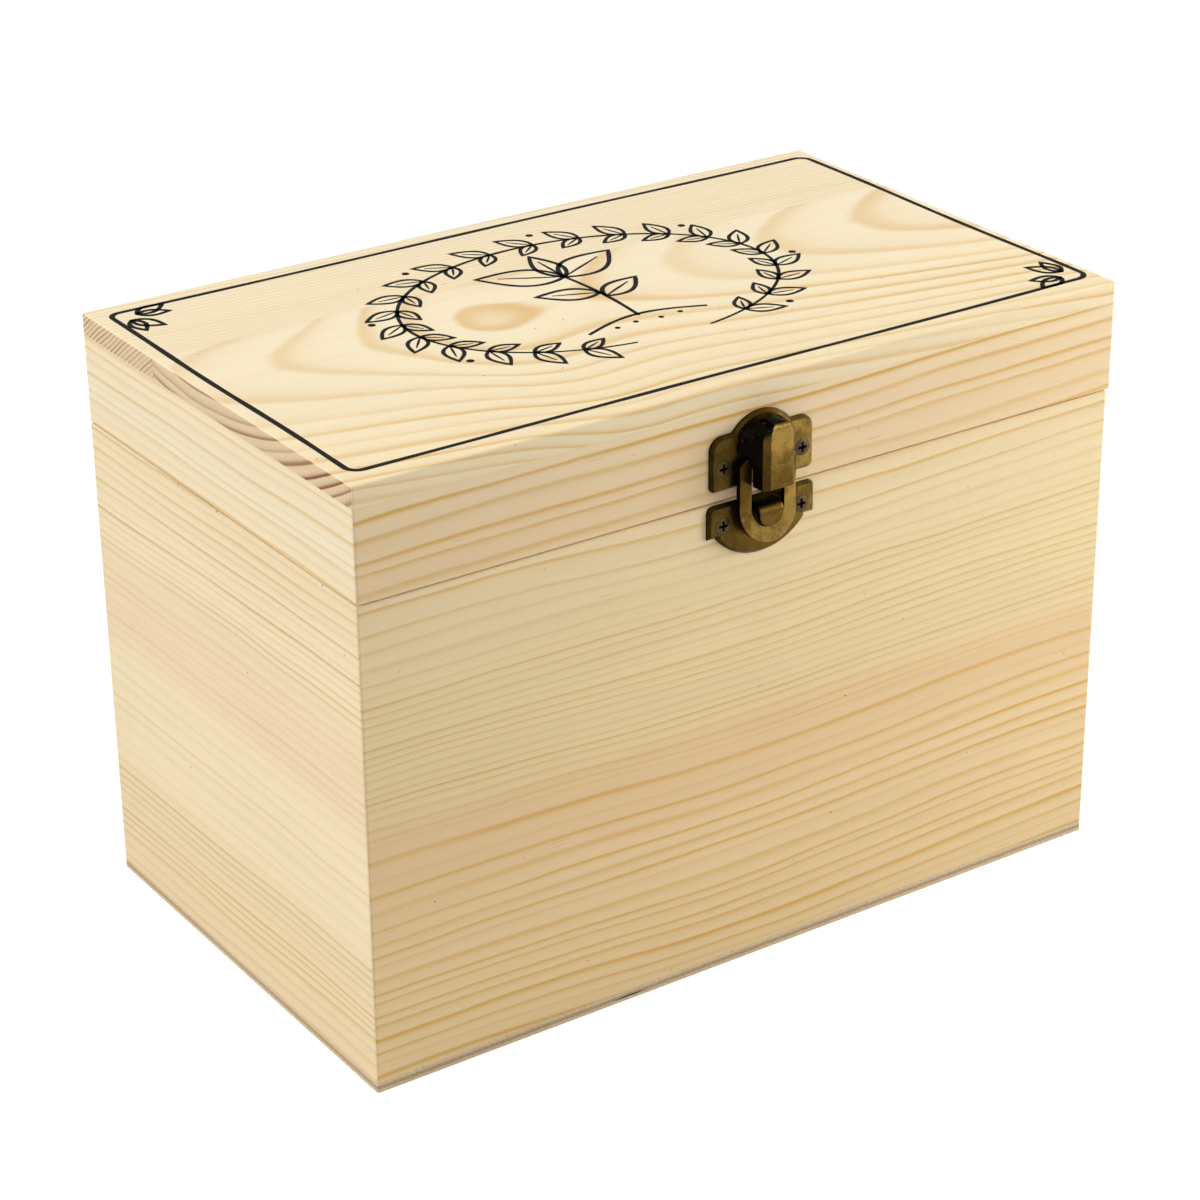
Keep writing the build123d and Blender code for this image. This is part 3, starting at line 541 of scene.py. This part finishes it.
def border_path():
    """Rectangle with round corners, walked anticlockwise, with a slow hand-drawn waver."""
    corners = [
        (border_right - border_turn, border_front + border_turn, -90),
        (border_right - border_turn, border_back - border_turn, 0),
        (border_left + border_turn, border_back - border_turn, 90),
        (border_left + border_turn, border_front + border_turn, 180),
    ]
    path = []
    for number, (x, y, start) in enumerate(corners):
        angle = np.radians(start + np.linspace(0, 90, 7))
        arc = np.column_stack([x + border_turn * np.cos(angle), y + border_turn * np.sin(angle)])
        nx, ny, next_start = corners[(number + 1) % 4]
        opening = (nx + border_turn * math.cos(math.radians(next_start)),
                   ny + border_turn * math.sin(math.radians(next_start)))
        run = np.linspace(arc[-1], opening, 40)[1:-1]
        path.extend([arc, run])
    path = np.concatenate(path)
    waver = 0.00025 * np.sin(np.arange(len(path)) * 0.21)
    return path + waver[:, None]


def corner_sprig(corner, turn):
    """Two open leaf loops that grow from the border beside a corner."""
    origin = np.array(corner)
    shapes = []
    for direction, length in ((turn[0], 0.0085), (turn[1], 0.0085)):
        way = np.array([math.cos(math.radians(direction)), math.sin(math.radians(direction))])
        side = np.array([-way[1], way[0]])
        root = origin + way * 0.004
        for lean in (0.55, -0.15):
            tip = root + way * length + side * length * lean
            shapes.append(ribbon(leaf(root, tip, 0.24), 0.0013, closed=True))
    return shapes


design = [ribbon(border_path(), border_line, closed=True)]
inset = border_line * 2.0
design += corner_sprig((border_left + inset, border_back - inset), (-8, -82))
design += corner_sprig((border_right - inset, border_front + inset), (172, 98))
print_design("printed_border", design)

# The wreath: pairs of leaves along an ellipse, with berries between them
wreath_centre = np.array([0.0, 0.006])
wreath_reach = np.array([0.056, 0.040])
wreath_pairs = 22
wreath = []
angle = np.radians(np.linspace(-78, 258, 140))
stem = wreath_centre + wreath_reach * np.column_stack([np.cos(angle), np.sin(angle)])
wreath.append(ribbon(stem, 0.0012, taper=0.3))
for number in range(wreath_pairs):
    turn = math.radians(-70 + 320 * (number + 0.5) / wreath_pairs)
    root = wreath_centre + wreath_reach * np.array([math.cos(turn), math.sin(turn)])
    onward = wreath_reach * np.array([-math.sin(turn), math.cos(turn)])
    onward /= np.linalg.norm(onward)
    outward = np.array([onward[1], -onward[0]])
    for side, length in ((1, 0.0105), (-1, 0.0085)):
        tip = root + onward * length * 0.75 + outward * side * length * 0.75
        wreath.append(ribbon(leaf(root, tip, 0.24), ink_line * 0.85, closed=True))
        wreath.append(ribbon(np.linspace(root, root + (tip - root) * 0.7, 6), 0.0007, taper=0.5))
    if number % 3 == 1:
        wreath.append(dot(root + outward * 0.0075 - onward * 0.003, 0.0011))
print_design("printed_wreath", wreath)

# The seedling: a stem with two large leaves over a low mound and scattered seeds
seedling = []
lean = np.linspace(0, 1, 24)
stem = np.column_stack([0.0012 * np.sin(lean * 3.0), -0.017 + 0.036 * lean])
seedling.append(ribbon(stem, ink_line, taper=0.2))
out_of_painted_shade = stem[-1]
for root, tip, belly in (
    (out_of_painted_shade, (-0.021, 0.031), 0.26),
    (out_of_painted_shade, (0.022, 0.030), 0.26),
    (stem[13], (-0.015, 0.010), 0.24),
    (stem[11], (0.016, 0.008), 0.24),
    (out_of_painted_shade, (0.001, 0.038), 0.20),
):
    seedling.append(ribbon(leaf(root, tip, belly), ink_line, closed=True))
    vein = np.linspace(root, np.asarray(root) + (np.asarray(tip) - root) * 0.75, 8)
    seedling.append(ribbon(vein, 0.0009, taper=0.5))
across = np.linspace(-1, 1, 40)
mound = np.column_stack([across * 0.019, -0.0215 + 0.0055 * np.cos(across * math.pi / 2)])
seedling.append(ribbon(mound, ink_line, taper=0.2))
for x, y in ((-0.010, -0.0215), (-0.0035, -0.0205), (0.004, -0.0215), (0.0105, -0.021)):
    seedling.append(dot((x, y), 0.0008))
print_design("printed_seedling", seedling)

# ---------------------------------------------------------------------------
# Latch and hinges: sheet brass, stamped and folded, with a dark antique patina. Faces that point
# out from the wall get the metal colour. Faces that point sideways get near-black, partly patina and
# partly painted shade and painted dark reflection. Across each part a painted gradient adds shade on
# one side and light on the other.
# ---------------------------------------------------------------------------

brass_bright = (0.36, 0.225, 0.055)
brass_mid = (0.135, 0.078, 0.013)
brass_patina_and_shade = (0.003, 0.0015, 0.001)


def antique_brass(name, front_axis, seed, shaded_end=(0.0, 0.0, 1.0), lit_end=(0.0, 1.0, 1.0)):
    """Darkened brass: metal where the surface faces along the given axis. Its sides are near-black, partly patina
    and partly painted shade and painted dark reflection.

    The last two arguments are (x, z, level) points. The level runs evenly along the line between them, with
    painted shade at the low end and painted light at the high end."""
    material, tree, xyz, facing = new_material(name)
    where = point(tree, xyz[0] + seed, xyz[1], xyz[2])
    cloud = noise(tree, where, 3.0, 0.55, 260.0)
    grain = noise(tree, where, 4.0, 0.65, 1900.0)
    # painted shade and dark reflection: faces turned away from the axis go near-black and lose their metal
    facing_front = smooth_step(facing[front_axis].maths("ABSOLUTE"), 0.45, 0.93)
    # painted shade and painted light: the level runs from one given point to the other
    span_x, span_z = lit_end[0] - shaded_end[0], lit_end[1] - shaded_end[1]
    scale = 1.0 / (span_x ** 2 + span_z ** 2)
    share = (xyz[0] - shaded_end[0]) * (span_x * scale) + (xyz[2] - shaded_end[1]) * (span_z * scale)
    painted_light = smooth_step(share, 0.0, 1.0) * (lit_end[2] - shaded_end[2]) + shaded_end[2]
    # real mottling of the patina, times the painted shade and light above
    polish_and_painted_light = facing_front * (0.62 + smooth_step(cloud, 0.35, 0.65) * 0.22 + (grain - 0.5) * 0.7) * painted_light
    tone = blend(smooth_step(polish_and_painted_light, 0.0, 0.62), brass_patina_and_shade, brass_mid)
    colour = blend(smooth_step(polish_and_painted_light, 0.55, 1.0), tone, brass_bright)
    pits = smooth_step(grain, 0.62, 0.74)
    colour = blend(pits * 0.55, colour, brass_patina_and_shade)
    roughness = 0.24 + grain * 0.14
    height = cloud * 0.3 + grain * 0.7
    return finish_material(material, tree, colour, roughness, height, 0.00005,
                           **{"Metallic": smooth_step(facing_front, 0.0, 0.6), "Specular IOR Level": 0.03})


# For each part, a point of painted shade and a point of painted light, each as (x, z, level)
latch_painted_light = {
    "latch_upper_plate": ((-0.016, 0.150, 0.48), (0.014, 0.158, 1.08)),
    "latch_lower_plate": ((-0.014, 0.130, 0.55), (0.014, 0.133, 0.90)),
    "latch_lever": ((-0.002, 0.147, 0.80), (0.002, 0.159, 1.38)),
    "latch_loop": ((-0.0085, 0.146, 0.48), (0.002, 0.128, 1.28)),
    "latch_lever_pin": ((-0.016, 0.150, 0.25), (0.014, 0.150, 0.25)),
}
for name, (shaded_end, lit_end) in latch_painted_light.items():
    dress(name, antique_brass(f"{name}_brass", 1, 0.0, shaded_end, lit_end))
hinge_brass = antique_brass("hinge_brass", 1, 0.4, (-0.1, 0.0, 0.85), (0.1, 0.0, 0.95))
for side in ("left", "right"):
    for leaf_name in ("base_leaf", "lid_leaf", "pin"):
        dress(f"{side}_hinge_{leaf_name}", hinge_brass)

# ---------------------------------------------------------------------------
# Screws and brads: small bronzed steel screws whose cross recess and sunken rim are painted
# almost black as shade, and plain bright brads under the floor.
# ---------------------------------------------------------------------------


def screw_metal(name, front_level):
    """Bronzed steel with painted shade: it goes almost black with depth below the crown of the head."""
    material, tree, xyz, facing = new_material(name)
    depth = (xyz[1].maths("ABSOLUTE") - front_level) * 1000.0
    # painted shade in the cross recess and round the rim of the head
    out_of_painted_shade = smooth_step(depth, -0.32, 0.05)
    fine = noise(tree, point(tree, xyz[0] * 1800.0, xyz[1] * 1800.0, xyz[2] * 1800.0), 3.0)
    colour = blend(out_of_painted_shade, (0.005, 0.003, 0.002), (0.105, 0.074, 0.036))
    colour = tinted(colour, 0.7 + fine * 0.5)
    return finish_material(material, tree, colour, 0.38 + fine * 0.15, fine, 0.00004, **{"Metallic": 1.0})


for name in ("latch_upper_screws", "latch_lower_screws"):
    low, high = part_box(name)
    dress(name, screw_metal(f"{name}_steel", -low[1] - 0.00035))
for side in ("left", "right"):
    for leaf_name in ("base", "lid"):
        name = f"{side}_hinge_{leaf_name}_screws"
        low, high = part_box(name)
        dress(name, screw_metal(f"{name}_steel", high[1] - 0.00035))

material, tree, xyz, facing = new_material("brad_steel")
grain = noise(tree, point(tree, xyz[0] * 1500.0, xyz[1] * 1500.0, xyz[2] * 1500.0), 3.0)
brad_colour = blend(grain, (0.42, 0.42, 0.42), (0.62, 0.61, 0.60))
dress("bottom_brads", finish_material(material, tree, brad_colour, 0.35, grain, 0.00003, **{"Metallic": 1.0}))

# ---------------------------------------------------------------------------
# Studio: a wide pale floor, an even white surround and soft lamps
# ---------------------------------------------------------------------------

floor_mesh = bpy.data.meshes.new("studio_floor")
floor_reach = 6.0
floor_mesh.from_pydata(
    [(-floor_reach, -floor_reach, 0), (floor_reach, -floor_reach, 0), (floor_reach, floor_reach, 0),
     (-floor_reach, floor_reach, 0)],
    [], [(0, 1, 2, 3)],
)
studio_floor = bpy.data.objects.new("studio_floor", floor_mesh)
bpy.context.scene.collection.objects.link(studio_floor)

material = bpy.data.materials.new("studio_white")
material.use_nodes = True
tree = material.node_tree
tree.nodes.clear()
floor_diffuse = node(tree, "ShaderNodeBsdfDiffuse", {}, {"Color": (0.80, 0.80, 0.80)})
floor_glow = node(tree, "ShaderNodeEmission", {}, {"Color": (1.0, 1.0, 1.0), "Strength": 1.2})
floor_seen = node(tree, "ShaderNodeMixShader", {}, {0: 0.78, 1: floor_diffuse, 2: floor_glow})
light_path = tree.nodes.new("ShaderNodeLightPath")
camera_ray = Value(tree, light_path.outputs["Is Camera Ray"])
surface = node(tree, "ShaderNodeMixShader", {}, {0: camera_ray, 1: floor_diffuse, 2: floor_seen})
node(tree, "ShaderNodeOutputMaterial", {}, {"Surface": surface})
floor_mesh.materials.append(material)

world = bpy.data.worlds.new("studio")
bpy.context.scene.world = world
world.use_nodes = True
tree = world.node_tree
tree.nodes.clear()
light_path = tree.nodes.new("ShaderNodeLightPath")
seen = Value(tree, light_path.outputs["Is Camera Ray"]).maths(
    "MAXIMUM", Value(tree, light_path.outputs["Is Transmission Ray"]))
seen = seen.maths("MAXIMUM", Value(tree, light_path.outputs["Is Glossy Ray"]) * 0.75)
surround = 0.28
background = node(tree, "ShaderNodeBackground", {}, {
    "Color": (1.0, 1.0, 1.0), "Strength": seen * (1.0 - surround) + surround,
})
node(tree, "ShaderNodeOutputWorld", {}, {"Surface": background})


def soft_lamp(name, place, target, size, power):
    """Square area lamp that points at the target."""
    data = bpy.data.lights.new(name, "AREA")
    data.shape = "SQUARE"
    data.size = size
    data.energy = power
    lamp = bpy.data.objects.new(name, data)
    lamp.location = place
    lamp.rotation_euler = (Vector(target) - Vector(place)).to_track_quat("-Z", "Y").to_euler()
    bpy.context.scene.collection.objects.link(lamp)


soft_lamp("left_lamp", (-1.5, 0.3, 0.9), (0, 0, 0.08), 0.9, 14.2)
soft_lamp("top_lamp", (-0.1, 0.1, 2.0), (0, 0, 0.08), 0.9, 15.6)
soft_lamp("right_lamp", (0.62, -0.40, 0.30), (0.10, 0, 0.08), 0.3, 3.55)
